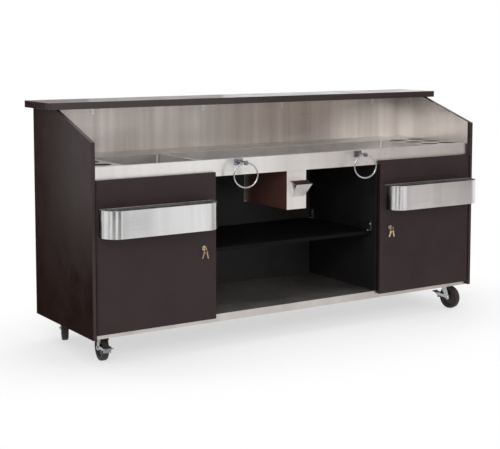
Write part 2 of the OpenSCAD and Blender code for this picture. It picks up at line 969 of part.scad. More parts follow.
// Top plates with their swivel races, bolted under the deck
module caster_plates() {
    color(ZINC)
        for (caster = CASTERS)
            translate(caster_place(caster)) translate([0, 0, caster_h - plate_t]) difference() {
                union() {
                    translate([-plate_l / 2, -plate_w / 2, 0])
                        linear_extrude(plate_t) round_rect(plate_l, plate_w, plate_corner_r);
                    translate([0, 0, -race_h]) cylinder(r = race_r, h = race_h);
                }
                translate([0, 0, -race_h - cut]) cylinder(r = kingpin_r + run_fit, h = race_h + cut);
                for (x = [-bolt_x, bolt_x] / 2, y = [-bolt_y, bolt_y] / 2)
                    translate([x, y, -cut]) cylinder(r = bolt_hole_r, h = plate_t + 2 * cut);
            }
}

// Side profile of a fork leg, with an ear for the brake pedal where there is one
module leg_profile(braked) {
    difference() {
        union() {
            polygon([
                [-leg_top_w / 2, crown_z], [leg_top_w / 2, crown_z],
                [trail + boss_r, wheel_r], [trail - boss_r, wheel_r]
            ]);
            translate([trail, wheel_r]) circle(boss_r);
            if (braked) {
                polygon([
                    [trail, wheel_r - ear_w / 2], [pedal_x, pedal_z - ear_w / 2],
                    [pedal_x, pedal_z + ear_w / 2], [trail, wheel_r + boss_r]
                ]);
                translate([pedal_x, pedal_z]) circle(ear_w / 2);
            }
        }
        translate([trail, wheel_r]) circle(axle_r + run_fit);
        if (braked) translate([pedal_x, pedal_z]) circle(pedal_pin_r + run_fit);
    }
}

module fork(caster, braked) {
    color(ZINC) at_caster(caster) {
        translate([0, 0, crown_z - crown_h]) cylinder(r = crown_r, h = crown_h);
        translate([0, 0, crown_z - crown_h])
            cylinder(r = kingpin_r, h = crown_h + race_h - slide_gap);
        leg_slice(leg_in, leg_out) leg_profile(braked);
        leg_slice(-leg_out, -leg_in) leg_profile(braked);
    }
}

module front_left_fork() {
    fork(FRONT_LEFT, true);
}

module front_right_fork() {
    fork(FRONT_RIGHT, true);
}

module back_left_fork() {
    fork(BACK_LEFT, false);
}

module back_right_fork() {
    fork(BACK_RIGHT, false);
}

// Places its children at the wheel's middle, with the axle along Y
module at_wheel(caster) {
    at_caster(caster) translate([trail, 0, wheel_r]) children();
}

// Wheel with a rounded tread, a thin web and a hub
module wheel(caster) {
    half = wheel_w / 2;
    color(RUBBER) at_wheel(caster) rotate([90, 0, 0]) rotate_extrude($fn = 96) {
        translate([axle_r + run_fit, -hub_half]) square([hub_r - axle_r, 2 * hub_half]);
        translate([axle_r + run_fit, -web_w / 2]) square([rim_r - axle_r, web_w]);
        translate([rim_r, -half]) square([wheel_r - tread_r - rim_r, wheel_w]);
        translate([rim_r, -half + tread_r]) square([wheel_r - rim_r, wheel_w - 2 * tread_r]);
        for (y = [-half + tread_r, half - tread_r])
            translate([wheel_r - tread_r, y]) circle(tread_r);
    }
}

module front_left_wheel() {
    wheel(FRONT_LEFT);
}

module front_right_wheel() {
    wheel(FRONT_RIGHT);
}

module back_left_wheel() {
    wheel(BACK_LEFT);
}

module back_right_wheel() {
    wheel(BACK_RIGHT);
}

// Axle bolt with a hexagonal head and nut outside the fork legs
module axle(caster) {
    color(ZINC) at_wheel(caster) rotate([90, 0, 0]) {
        cylinder(r = axle_r, h = 2 * leg_out, center = true);
        for (end = [-leg_out - axle_head_t, leg_out])
            translate([0, 0, end]) cylinder(r = axle_head_r, h = axle_head_t, $fn = 6);
    }
}

module front_left_axle() {
    axle(FRONT_LEFT);
}

module front_right_axle() {
    axle(FRONT_RIGHT);
}

module back_left_axle() {
    axle(BACK_LEFT);
}

module back_right_axle() {
    axle(BACK_RIGHT);
}

// Foot pedal between the fork's ears, opposite the trailing wheel, with a shoe below its pivot
module brake_pedal(caster) {
    half = leg_in - slide_gap;
    color(ZINC) at_caster(caster) translate([pedal_x, 0, pedal_z]) mirror([1, 0, 0]) {
        leg_slice(-leg_out, leg_out) circle(pedal_pin_r);
        leg_slice(-half, half) {
            circle(pedal_barrel_r);
            rotate(pedal_tilt) translate([0, -pedal_plate_t / 2]) square([pedal_l, pedal_plate_t]);
            translate([-shoe_t, -shoe_h]) square([shoe_t, shoe_h]);
        }
    }
}

module left_brake_pedal() {
    brake_pedal(FRONT_LEFT);
}

module right_brake_pedal() {
    brake_pedal(FRONT_RIGHT);
}

left_end_panel();
right_end_panel();
customer_panel();
inner_back_panel();
left_divider();
right_divider();
deck_board();
deck_skin();
bay_shelf();
shelf_brackets();
bar_top();
bar_top_brackets();
counter_top();
work_pan();
ice_bin_liner();
ice_bin_insulation();
ice_bin_drain();
left_bottle_well();
right_bottle_well();
left_well_plate();
right_well_plate();
backsplash();
side_liners();
centre_housing();
housing_hanger();
catcher_plate();
cap_catcher();
ring_mounts();
left_towel_ring();
right_towel_ring();
left_door();
right_door();
hinge_frame_leaves();
left_hinge_door_leaf();
right_hinge_door_leaf();
hinge_pins();
left_speed_rail();
right_speed_rail();
left_lock_barrel();
right_lock_barrel();
left_lock_plug();
right_lock_plug();
left_keys();
right_keys();
lock_strikes();
caster_plates();
front_left_fork();
front_right_fork();
back_left_fork();
back_right_fork();
front_left_wheel();
front_right_wheel();
back_left_wheel();
back_right_wheel();
front_left_axle();
front_right_axle();
back_left_axle();
back_right_axle();
left_brake_pedal();
right_brake_pedal();
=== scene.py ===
import json
import math

import bmesh
import bpy
from mathutils import Matrix, Vector

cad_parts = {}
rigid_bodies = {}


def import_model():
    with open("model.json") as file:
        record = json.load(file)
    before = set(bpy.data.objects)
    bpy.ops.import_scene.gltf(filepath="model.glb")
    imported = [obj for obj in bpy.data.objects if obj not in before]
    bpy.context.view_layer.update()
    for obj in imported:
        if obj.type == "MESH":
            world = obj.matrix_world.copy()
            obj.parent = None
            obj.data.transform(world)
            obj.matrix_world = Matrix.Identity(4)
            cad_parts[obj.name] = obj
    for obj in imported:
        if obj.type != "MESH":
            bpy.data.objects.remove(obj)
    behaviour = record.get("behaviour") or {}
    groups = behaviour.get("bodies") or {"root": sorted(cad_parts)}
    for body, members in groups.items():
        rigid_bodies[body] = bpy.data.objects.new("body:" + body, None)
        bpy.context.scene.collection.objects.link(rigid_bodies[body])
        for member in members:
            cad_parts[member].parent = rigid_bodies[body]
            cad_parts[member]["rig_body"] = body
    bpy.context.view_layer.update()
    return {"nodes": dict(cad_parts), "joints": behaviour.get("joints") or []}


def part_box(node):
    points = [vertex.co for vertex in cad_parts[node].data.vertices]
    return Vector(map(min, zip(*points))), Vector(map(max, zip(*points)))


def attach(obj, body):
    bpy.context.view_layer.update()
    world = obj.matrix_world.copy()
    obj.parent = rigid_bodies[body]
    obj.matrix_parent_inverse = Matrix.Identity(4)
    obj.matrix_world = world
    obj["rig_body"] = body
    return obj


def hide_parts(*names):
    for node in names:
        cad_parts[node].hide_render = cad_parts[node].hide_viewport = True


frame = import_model()
nodes = frame["nodes"]
joints = {joint["name"]: joint for joint in frame["joints"]}
scene = bpy.context.scene
scene.view_settings.view_transform = "Standard"
alongX, alongY, alongZ = (1, 0, 0), (0, 1, 0), (0, 0, 1)
origin = (0, 0, 0)
sides = ("left", "right")
corners = ("front_left", "front_right", "back_left", "back_right")
print("frame loaded:", len(nodes), "nodes")


# Camera at the photograph's angle, with the frame shifted down as a view camera does
cameraSpec = {
    "eye": (-3.474, -5.165, 1.531), "yaw": 32.91, "pitch": 5.41,
    "lens": 84.9, "sensor": 36, "shiftY": -0.149,
}


def lookAlong(item, ahead):
    item.rotation_euler = ahead.to_track_quat("-Z", "Y").to_euler()


def aimCamera(spec):
    data = bpy.data.cameras.new("photoCamera")
    data.lens = spec["lens"]
    data.sensor_width = spec["sensor"]
    data.shift_y = spec["shiftY"]
    camera = bpy.data.objects.new("photoCamera", data)
    scene.collection.objects.link(camera)
    yaw, pitch = math.radians(spec["yaw"]), math.radians(spec["pitch"])
    level = math.cos(pitch)
    camera.location = spec["eye"]
    lookAlong(camera, Vector((math.sin(yaw) * level, math.cos(yaw) * level, -math.sin(pitch))))
    scene.camera = camera


aimCamera(cameraSpec)
print("camera aimed")


# Node helpers for the studio and the finishes
def joinSockets(tree, *pairs):
    for source, target in pairs:
        tree.links.new(source, target)


def addOperation(tree, kind, operation):
    node = tree.nodes.new("ShaderNode" + kind)
    node.operation = operation
    return node


def mapRange(tree, value, low, high, toLow=0.0, toHigh=1.0):
    ramp = tree.nodes.new("ShaderNodeMapRange")
    limits = {"From Min": low, "From Max": high, "To Min": toLow, "To Max": toHigh}
    for label, number in limits.items():
        ramp.inputs[label].default_value = number
    tree.links.new(value, ramp.inputs["Value"])
    return ramp.outputs[0]


def startFinish(name, **sockets):
    finish = bpy.data.materials.new(name)
    finish.use_nodes = True
    tree = finish.node_tree
    skin = tree.nodes["Principled BSDF"]
    for label, value in sockets.items():
        skin.inputs[label.replace("_", " ")].default_value = value
    return finish, tree, skin


# Soft studio light: a wide key from the front left, a fill from the front right and a top light
lampSpecs = {
    "keySoftbox": {"at": (-3.4, -4.6, 3.0), "aim": (0, 0, 0.6),
                   "size": (3.2, 2.2), "watts": 110, "mirrored": True},
    "fillSoftbox": {"at": (3.6, -4.4, 2.6), "aim": (0.3, 0, 0.6),
                    "size": (2.4, 2.0), "watts": 40, "mirrored": False},
    "topSoftbox": {"at": (0.2, 0.2, 4.2), "aim": origin,
                   "size": (4.0, 2.4), "watts": 50, "mirrored": False},
}


def hangLamps(specs):
    for name, spec in specs.items():
        data = bpy.data.lights.new(name, "AREA")
        data.shape = "RECTANGLE"
        data.size, data.size_y = spec["size"]
        data.energy = spec["watts"]
        lamp = bpy.data.objects.new(name, data)
        lamp.visible_glossy = spec["mirrored"]
        scene.collection.objects.link(lamp)
        lamp.location = spec["at"]
        lookAlong(lamp, Vector(spec["aim"]) - lamp.location)


# Surroundings: white to the camera and to mirroring faces, a softer fill for the rest
worldSpec = {"colour": (1, 1, 1, 1), "shown": 1.0, "fill": 0.72}


def seenShare(tree):
    path = tree.nodes.new("ShaderNodeLightPath")
    shiny = addOperation(tree, "Math", "MAXIMUM")
    seen = addOperation(tree, "Math", "MAXIMUM")
    joinSockets(
        tree,
        (path.outputs["Is Glossy Ray"], shiny.inputs[0]),
        (path.outputs["Is Transmission Ray"], shiny.inputs[1]),
        (path.outputs["Is Camera Ray"], seen.inputs[0]),
        (shiny.outputs[0], seen.inputs[1]),
    )
    return seen.outputs[0]


def lightWorld(spec):
    world = bpy.data.worlds.new("studio")
    scene.world = world
    world.use_nodes = True
    tree = world.node_tree
    background = tree.nodes["Background"]
    background.inputs["Color"].default_value = spec["colour"]
    strength = mapRange(tree, seenShare(tree), 0, 1, spec["fill"], spec["shown"])
    tree.links.new(strength, background.inputs["Strength"])


def makeStage(name, shape, finish):
    mesh = bpy.data.meshes.new(name)
    shape.to_mesh(mesh)
    shape.free()
    mesh.materials.append(finish)
    item = bpy.data.objects.new(name, mesh)
    scene.collection.objects.link(item)
    return item


# Pale floor that keeps the shadow near the part and fades to white further out
floorSpec = {
    "reach": 14, "colour": (0.93, 0.93, 0.93, 1), "roughness": 0.9,
    "squash": (1, 1.6, 1), "fadeFrom": 1.25, "fadeTo": 2.0, "whiten": 0.6,
}


def layFloor(spec):
    finish, tree, matt = startFinish(
        "paleFloor", Base_Color=spec["colour"], Roughness=spec["roughness"]
    )
    white = tree.nodes.new("ShaderNodeEmission")
    blend = tree.nodes.new("ShaderNodeMixShader")
    place = tree.nodes.new("ShaderNodeTexCoord")
    squash = addOperation(tree, "VectorMath", "MULTIPLY")
    squash.inputs[1].default_value = spec["squash"]
    reach = addOperation(tree, "VectorMath", "LENGTH")
    share = addOperation(tree, "Math", "MULTIPLY")
    fade = mapRange(tree, reach.outputs["Value"], spec["fadeFrom"], spec["fadeTo"], spec["whiten"])
    joinSockets(
        tree,
        (place.outputs["Object"], squash.inputs[0]),
        (squash.outputs[0], reach.inputs[0]),
        (fade, share.inputs[0]),
        (seenShare(tree), share.inputs[1]),
        (share.outputs[0], blend.inputs["Fac"]),
        (matt.outputs[0], blend.inputs[1]),
        (white.outputs[0], blend.inputs[2]),
        (blend.outputs[0], tree.nodes["Material Output"].inputs["Surface"]),
    )
    shape = bmesh.new()
    bmesh.ops.create_grid(shape, x_segments=1, y_segments=1, size=spec["reach"])
    floor = makeStage("studioFloor", shape, finish)


# Cards that only mirroring faces see: dark at the left, brown at the right, strips for round metal
darkTone, stripTone = (0.02, 0.010, 0.008), (0.05, 0.045, 0.042)
cardSpecs = {
    "sideCard": {"middle": (-1.62, 3.1, 1.0), "spread": (4.3, 2.0),
                 "towards": alongX, "tone": darkTone},
    "lowCard": {"middle": (-2.2, 2.2, 0.004), "spread": (2.0, 5.2),
                "towards": alongZ, "tone": darkTone},
    "frontCard": {"middle": (2.7, -3.2, 1.25), "spread": (1.4, 1.9),
                  "towards": alongY, "tone": (0.50, 0.435, 0.40)},
    "rightCard": {"middle": (4.9, -3.2, 1.18), "spread": (3.0, 2.04),
                  "towards": alongY, "tone": (0.34, 0.29, 0.27)},
    "floorCard": {"middle": (2.7, -1.9, 0.004), "spread": (3.4, 2.4),
                  "towards": alongZ, "tone": (0.52, 0.48, 0.46)},
    "stripNear": {"middle": (-1.45, -3.4, 0.9), "spread": (1.2, 1.8),
                  "towards": alongY, "tone": (0.09, 0.06, 0.05)},
    "stripLeft": {"middle": (-3.1, -2.5, 0.7), "spread": (1.2, 1.4),
                  "towards": (0.64, 0.77, 0), "tone": stripTone},
    "stripSide": {"middle": (-4.0, -1.0, 0.7), "spread": (0.35, 1.4),
                  "towards": (0.97, 0.22, 0), "tone": stripTone},
    "stripBack": {"middle": (-3.6, 1.4, 0.7), "spread": (0.35, 1.4),
                  "towards": (0.82, -0.57, 0), "tone": stripTone},
    "footCard": {"middle": (0.1, -3.2, 0.22), "spread": (0.9, 0.44),
                 "towards": alongY, "tone": (0.50, 0.50, 0.50)},
    "highCard": {"middle": (-0.5, -2.4, 3.2), "spread": (4.4, 1.6),
                 "towards": (0, 0.5, -0.86), "tone": stripTone},
    "topCardMid": {"middle": (0.0, 3.0, 1.7), "spread": (0.7, 1.6),
                   "towards": (0, -1, 0), "tone": (0.46, 0.42, 0.42)},
    "topCardPale": {"middle": (0.95, 3.0, 1.7), "spread": (1.2, 1.6),
                    "towards": (0, -1, 0), "tone": (0.66, 0.62, 0.62)},
}


def standCards(specs):
    for name, spec in specs.items():
        finish, *_ = startFinish(
            name, Base_Color=(0, 0, 0, 1), Roughness=1.0, Specular_IOR_Level=0.0,
            Emission_Color=(*spec["tone"], 1), Emission_Strength=1.0,
        )
        shape = bmesh.new()
        bmesh.ops.create_grid(shape, x_segments=1, y_segments=1, size=0.5)  # a metre square
        bmesh.ops.scale(shape, vec=(*spec["spread"], 1), verts=shape.verts)
        turn = Vector(spec["towards"]).to_track_quat("Z", "Y").to_matrix().to_4x4()
        place = Matrix.Translation(spec["middle"]) @ turn
        bmesh.ops.transform(shape, matrix=place, verts=shape.verts)
        card = makeStage(name, shape, finish)
        card.visible_camera = card.visible_diffuse = False
        card.visible_shadow = card.visible_transmission = False


hangLamps(lampSpecs)
lightWorld(worldSpec)
layFloor(floorSpec)
standCards(cardSpecs)
print("studio ready")


# Shader groups that the finishes share
noiseSpec = {"scale": 1, "roughness": 0.6}
grainSpec = {
    "low": 0.3, "high": 0.7,
    "drawn": {
        "Grain": {"by": "Stretch", "factor": (4, 500, 500), "detail": 4},
        "Streak": {"by": "Bands", "factor": (9, 9, 0.6), "detail": 3},
    },
}
marksSpec = {
    "size": 5.0,
    "noise": {
        "Blotch": {"step": 1, "detail": 4, "low": 0.35, "high": 0.7},
        "Speck": {"step": 40, "detail": 2, "low": 0.55, "high": 0.75},
    },
}
edgeSpec = {"facing": alongY, "low": 0.6, "high": 0.8}


def startGroup(name, inputs, outputs):
    group = bpy.data.node_groups.new(name, "ShaderNodeTree")
    for label, kind, value in inputs:
        socket = group.interface.new_socket(label, in_out="INPUT", socket_type=kind)
        socket.default_value = value
    for label in outputs:
        group.interface.new_socket(label, in_out="OUTPUT", socket_type="NodeSocketFloat")
    return group, group.nodes.new("NodeGroupInput"), group.nodes.new("NodeGroupOutput")


def noiseIn(tree, vector, detail):
    noise = tree.nodes.new("ShaderNodeTexNoise")
    noise.inputs["Scale"].default_value = noiseSpec["scale"]
    noise.inputs["Detail"].default_value = detail
    noise.inputs["Roughness"].default_value = noiseSpec["roughness"]
    tree.links.new(vector, noise.inputs["Vector"])
    return noise.outputs["Fac"]


def makeGrainGroup(spec):
    # Brushing or grain: noise drawn out along one direction of the sheet. The streak output is
    # painted reflection: upright streaks that go into the steels' colour
    inputs = [(one["by"], "NodeSocketVector", one["factor"]) for one in spec["drawn"].values()]
    group, into, out = startGroup("brushedGrain", inputs, spec["drawn"])
    place = group.nodes.new("ShaderNodeTexCoord")
    for result, one in spec["drawn"].items():
        drawn = addOperation(group, "VectorMath", "MULTIPLY")
        tone = noiseIn(group, drawn.outputs[0], one["detail"])
        joinSockets(
            group,
            (place.outputs["Object"], drawn.inputs[0]),
            (into.outputs[one["by"]], drawn.inputs[1]),
            (mapRange(group, tone, spec["low"], spec["high"]), out.inputs[result]),
        )
    return group


def makeMarksGroup(spec):
    # Wiping and handling marks: soft blotches with finer specks in them
    inputs = [("Size", "NodeSocketFloat", spec["size"])]
    group, into, out = startGroup("wipeMarks", inputs, spec["noise"])
    place = group.nodes.new("ShaderNodeTexCoord")
    for result, one in spec["noise"].items():
        factor = addOperation(group, "Math", "MULTIPLY")
        factor.inputs[1].default_value = one["step"]
        scaled = addOperation(group, "VectorMath", "SCALE")
        tone = noiseIn(group, scaled.outputs[0], one["detail"])
        joinSockets(
            group,
            (into.outputs["Size"], factor.inputs[0]),
            (place.outputs["Object"], scaled.inputs[0]),
            (factor.outputs[0], scaled.inputs["Scale"]),
            (mapRange(group, tone, one["low"], one["high"]), out.inputs[result]),
        )
    return group


def makeEdgeGroup(spec):
    # One where the board's face looks along the given direction, zero on its edges
    inputs = [("Facing", "NodeSocketVector", spec["facing"])]
    group, into, out = startGroup("boardFace", inputs, ["Face"])
    place = group.nodes.new("ShaderNodeTexCoord")
    along = addOperation(group, "VectorMath", "DOT_PRODUCT")
    size = addOperation(group, "Math", "ABSOLUTE")
    joinSockets(
        group,
        (place.outputs["Normal"], along.inputs[0]),
        (into.outputs["Facing"], along.inputs[1]),
        (along.outputs["Value"], size.inputs[0]),
        (mapRange(group, size.outputs[0], spec["low"], spec["high"]), out.inputs["Face"]),
    )
    return group


grainGroup = makeGrainGroup(grainSpec)
marksGroup = makeMarksGroup(marksSpec)
edgeGroup = makeEdgeGroup(edgeSpec)
print("shader groups ready")


# Finishes. A Mix node labels its sockets alike for all kinds of value, so colours go by place
mixSockets = {"first": 6, "second": 7, "result": 2}


def placeGroup(tree, group, **values):
    node = tree.nodes.new("ShaderNodeGroup")
    node.node_tree = group
    for label, value in values.items():
        node.inputs[label].default_value = value
    return node


def mixColours(tree, share, first, second):
    mix = tree.nodes.new("ShaderNodeMix")
    mix.data_type = "RGBA"
    tree.links.new(share, mix.inputs["Factor"])
    for label, colour in (("first", first), ("second", second)):
        socket = mix.inputs[mixSockets[label]]
        if isinstance(colour, bpy.types.NodeSocket):
            tree.links.new(colour, socket)
        else:
            socket.default_value = (*colour, 1)
    return mix.outputs[mixSockets["result"]]


def addBump(tree, skin, height, strength, depth):
    bump = tree.nodes.new("ShaderNodeBump")
    bump.inputs["Strength"].default_value = strength
    bump.inputs["Distance"].default_value = depth
    joinSockets(tree, (height, bump.inputs["Height"]), (bump.outputs[0], skin.inputs["Normal"]))


def paintSkin(tree, skin, marks, colour, low, high):
    rough = mapRange(tree, marks.outputs["Blotch"], 0, 1, low, high)
    joinSockets(tree, (colour, skin.inputs["Base Color"]), (rough, skin.inputs["Roughness"]))


def paintBoard(tree, skin, marks, spec, low, high):
    board = placeGroup(tree, edgeGroup, Facing=spec["facing"])
    mottled = mixColours(tree, marks.outputs["Blotch"], spec["face"], spec["worn"])
    colour = mixColours(tree, board.outputs["Face"], spec["edge"], mottled)
    paintSkin(tree, skin, marks, colour, low, high)


# Brown laminate with darker edge bands
brownFace, brownWorn = (0.024, 0.0140, 0.0150), (0.029, 0.0180, 0.0190)
redEdge = (0.026, 0.012, 0.010)
laminateMake = {
    "marks": 7.0, "stretch": (160, 160, 12), "shinier": 0.05, "duller": 0.07,
    "bump": 0.12, "depth": 0.0004,
}
laminates = {
    "doorLaminate": {"face": brownFace, "worn": brownWorn, "edge": redEdge,
                     "facing": alongY, "gloss": 0.42, "sheen": 0.22},
    # The end panels' laminate keeps the board's redder own tone but is set darker than the doors:
    # painted shade for the end faces
    "endLaminatePaintedShade": {"face": (0.0160, 0.0062, 0.0052), "worn": (0.0200, 0.0088, 0.0076),
                    "edge": brownWorn, "facing": alongX, "gloss": 0.34, "sheen": 0.30},
    "topLaminate": {"face": (0.040, 0.032, 0.033), "worn": (0.046, 0.037, 0.038),
                    "edge": brownWorn, "facing": alongZ, "gloss": 0.17, "sheen": 0.45},
    # The housing's laminate is set far lighter than the board's own colour: painted light for the
    # housing in the shade under the counter
    "housingLaminatePaintedLight": {"face": (0.080, 0.035, 0.0275), "worn": (0.088, 0.039, 0.031),
                        "edge": redEdge, "facing": alongX, "gloss": 0.42, "sheen": 0.22},
}


def makeLaminate(name, spec, make=laminateMake):
    finish, tree, skin = startFinish(name, Specular_IOR_Level=spec["sheen"])
    marks = placeGroup(tree, marksGroup, Size=make["marks"])
    grain = placeGroup(tree, grainGroup, Stretch=make["stretch"])
    low, high = spec["gloss"] - make["shinier"], spec["gloss"] + make["duller"]
    paintBoard(tree, skin, marks, spec, low, high)
    addBump(tree, skin, grain.outputs["Grain"], make["bump"], make["depth"])
    return finish


# Black melamine inside the bay
blackFace, blackWorn = (0.009, 0.0085, 0.0085), (0.014, 0.013, 0.013)
blackEdge = (0.0035, 0.0030, 0.0031)
blackBoardMake = {"marks": 6.0, "rough": (0.45, 0.6), "bump": 0.06, "depth": 0.0003}
blackBoards = {
    "dividerBoard": {"face": blackFace, "worn": blackWorn, "edge": blackEdge,
                     "facing": alongX, "sheen": 0.3},
    "deckBoard": {"face": blackFace, "worn": blackWorn, "edge": blackEdge,
                  "facing": alongZ, "sheen": 0.3},
    "shelfBoard": {"face": (0.0055, 0.0048, 0.0050), "worn": (0.0080, 0.0070, 0.0072),
                   "edge": blackEdge, "facing": alongZ, "sheen": 0.08},
    "backBoard": {"face": (0.022, 0.0205, 0.0205), "worn": (0.030, 0.028, 0.028),
                  "edge": blackEdge, "facing": alongY, "sheen": 0.3},
}


def makeBlackBoard(name, spec, make=blackBoardMake):
    finish, tree, skin = startFinish(name, Specular_IOR_Level=spec["sheen"])
    marks = placeGroup(tree, marksGroup, Size=make["marks"])
    paintBoard(tree, skin, marks, spec, *make["rough"])
    addBump(tree, skin, marks.outputs["Speck"], make["bump"], make["depth"])
    return finish


# Sheet steel, brushed along its length, with faint upright streaks of painted reflection in its
# colour
steelMake = {
    "marks": 4.0, "anisotropy": 0.6, "drawn": "X", "grainRough": 0.08, "duller": 0.07,
    "bump": 0.05, "depth": 0.0002,
}
steels = {
    "brushedSteel": {"dull": (0.73, 0.715, 0.70), "bright": (0.85, 0.835, 0.82),
                     "stretch": (5, 420, 420), "bands": (7, 7, 0.5), "gloss": 0.24},
    # The backsplash's steel is a darker, warmer copy of the sheet steel: painted shade under the
    # top's overhang and painted brown reflection
    "wallSteel": {"dull": (0.47, 0.42, 0.39), "bright": (0.68, 0.625, 0.59),
                  "stretch": (5, 300, 300), "bands": (11, 11, 0.35), "gloss": 0.26},
    "plateSteel": {"dull": (0.83, 0.80, 0.775), "bright": (0.94, 0.91, 0.885),
                   "stretch": (5, 420, 420), "bands": (7, 7, 0.5), "gloss": 0.28},
    "panSteel": {"dull": (0.50, 0.48, 0.465), "bright": (0.62, 0.60, 0.585),
                 "stretch": (5, 380, 380), "bands": (6, 6, 2), "gloss": 0.26},
    "railSteel": {"dull": (0.64, 0.635, 0.635), "bright": (0.75, 0.745, 0.745),
                  "stretch": (5, 420, 420), "bands": (8, 8, 0.4), "gloss": 0.14},
    "deckSteel": {"dull": (0.55, 0.51, 0.48), "bright": (0.66, 0.625, 0.60),
                  "stretch": (5, 300, 300), "bands": (9, 9, 2), "gloss": 0.32},
}


def makeSteel(name, spec, make=steelMake):
    finish, tree, skin = startFinish(name, Metallic=1.0, Anisotropic=make["anisotropy"])
    grain = placeGroup(tree, grainGroup, Stretch=spec["stretch"], Bands=spec["bands"])
    marks = placeGroup(tree, marksGroup, Size=make["marks"])
    # painted reflection: upright streaks lighten the steel's colour in bands
    colour = mixColours(tree, grain.outputs["Streak"], spec["dull"], spec["bright"])
    duller = spec["gloss"] + make["duller"]
    wiped = mapRange(tree, marks.outputs["Blotch"], 0, 1, spec["gloss"], duller)
    rough = addOperation(tree, "Math", "MULTIPLY_ADD")
    rough.inputs[1].default_value = make["grainRough"]
    along = tree.nodes.new("ShaderNodeTangent")
    along.direction_type = "RADIAL"
    along.axis = make["drawn"]
    joinSockets(
        tree,
        (colour, skin.inputs["Base Color"]),
        (grain.outputs["Grain"], rough.inputs[0]),
        (wiped, rough.inputs[2]),
        (rough.outputs[0], skin.inputs["Roughness"]),
        (along.outputs[0], skin.inputs["Tangent"]),
    )
    addBump(tree, skin, grain.outputs["Grain"], make["bump"], make["depth"])
    return finish


# Plated and plain small metal
platings = {
    # Chrome is set darker than plain chrome would be: painted dark reflection
    "chrome": {"dull": (0.40, 0.405, 0.41), "bright": (0.48, 0.485, 0.49),
               "rough": (0.05, 0.11), "marks": 60.0},
    # The ring mounts' chrome is set darker than the other chrome: painted dark reflection
    "chromePaintedDarkReflection": {"dull": (0.16, 0.165, 0.18), "bright": (0.34, 0.345, 0.36),
                   "rough": (0.06, 0.16), "marks": 90.0},
    "zinc": {"dull": (0.55, 0.57, 0.59), "bright": (0.71, 0.735, 0.755),
             "rough": (0.26, 0.40), "marks": 110.0},
    "pedalZinc": {"dull": (0.22, 0.24, 0.245), "bright": (0.33, 0.355, 0.36),
                  "rough": (0.30, 0.45), "marks": 110.0},
    "brass": {"dull": (0.66, 0.47, 0.27), "bright": (0.80, 0.61, 0.40),
              "rough": (0.22, 0.36), "marks": 90.0},
    "bronze": {"dull": (0.040, 0.031, 0.028), "bright": (0.060, 0.048, 0.042),
               "rough": (0.34, 0.48), "marks": 60.0},
}


def makePlated(name, spec):
    finish, tree, skin = startFinish(name, Metallic=1.0)
    marks = placeGroup(tree, marksGroup, Size=spec["marks"])
    colour = mixColours(tree, marks.outputs["Blotch"], spec["dull"], spec["bright"])
    paintSkin(tree, skin, marks, colour, *spec["rough"])
    return finish


# Rubber, plastic, the painted shade of the cap catcher's hollow, and foam
mouldedMake = {"sheen": 0.4, "depth": 0.0003}
mouldings = {
    "rubber": {"plain": (0.020, 0.0122, 0.0125), "dusty": (0.036, 0.025, 0.025),
               "rough": (0.55, 0.75), "marks": 25.0, "grit": 0.15},
    "wheelCore": {"plain": (0.021, 0.0135, 0.0140), "dusty": (0.034, 0.0245, 0.0250),
                  "rough": (0.35, 0.5), "marks": 25.0, "grit": 0.15},
    # Painted shade and painted brown reflection for the inside of the steel cap catcher, in two
    # blotched tones
    "catcherInside": {"plain": (0.050, 0.020, 0.018), "dusty": (0.060, 0.026, 0.023),
                      "rough": (0.45, 0.6), "marks": 25.0, "grit": 0.15},
    "foam": {"plain": (0.70, 0.62, 0.40), "dusty": (0.80, 0.73, 0.52),
             "rough": (0.8, 0.95), "marks": 45.0, "grit": 0.5},
}


def makeMoulded(name, spec, make=mouldedMake):
    finish, tree, skin = startFinish(name, Specular_IOR_Level=make["sheen"])
    marks = placeGroup(tree, marksGroup, Size=spec["marks"])
    colour = mixColours(tree, marks.outputs["Blotch"], spec["plain"], spec["dusty"])
    paintSkin(tree, skin, marks, colour, *spec["rough"])
    addBump(tree, skin, marks.outputs["Speck"], spec["grit"], make["depth"])
    return finish


finishes = {}
for makeFinish, family in (
    (makeLaminate, laminates),
    (makeBlackBoard, blackBoards),
    (makeSteel, steels),
    (makePlated, platings),
    (makeMoulded, mouldings),
):
    for name, spec in family.items():
        finishes[name] = makeFinish(name, spec)
print("finishes ready:", len(finishes))


# Every node is dressed in a copy with welded faces, rounded edges and its finish
dressing = {
    "weld": 1e-6,
    "flat": math.radians(0.3),
    "sharp": math.radians(32),
    "smooth": math.radians(55),
}


def pieceName(node):
    first, *rest = node.split("_")
    return first + "".join(word.capitalize() for word in rest)


def keepPiece(name, shape, finish, body, node=None):
    mesh = bpy.data.meshes.new(name)
    shape.to_mesh(mesh)
    shape.free()
    mesh.shade_smooth()
    mesh.set_sharp_from_angle(angle=dressing["smooth"])
    mesh.materials.append(finishes[finish])
    piece = bpy.data.objects.new(name, mesh)
    scene.collection.objects.link(piece)
    level = piece.modifiers.new("flatFaces", "WEIGHTED_NORMAL")
    level.keep_sharp = True
    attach(piece, body)
    if node:
        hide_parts(node)
    return piece


def weldedCopy(node):
    shape = bmesh.new()
    shape.from_mesh(nodes[node].data)
    bmesh.ops.remove_doubles(shape, verts=shape.verts, dist=dressing["weld"])
    bmesh.ops.dissolve_limit(
        shape, angle_limit=dressing["flat"], verts=shape.verts, edges=shape.edges
    )
    return shape


def roundEdges(shape, radius, segments):
    sharp = [
        edge for edge in shape.edges
        if edge.is_manifold and edge.calc_face_angle() > dressing["sharp"]
    ]
    bmesh.ops.bevel(
        shape, geom=sharp, offset=radius, offset_type="OFFSET", segments=segments, profile=0.5,
        affect="EDGES", clamp_overlap=True, material=-1,
    )


def dressNode(node, finish, radius, segments):
    shape = weldedCopy(node)
    roundEdges(shape, radius, segments)
    return keepPiece(pieceName(node), shape, finish, nodes[node]["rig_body"], node)


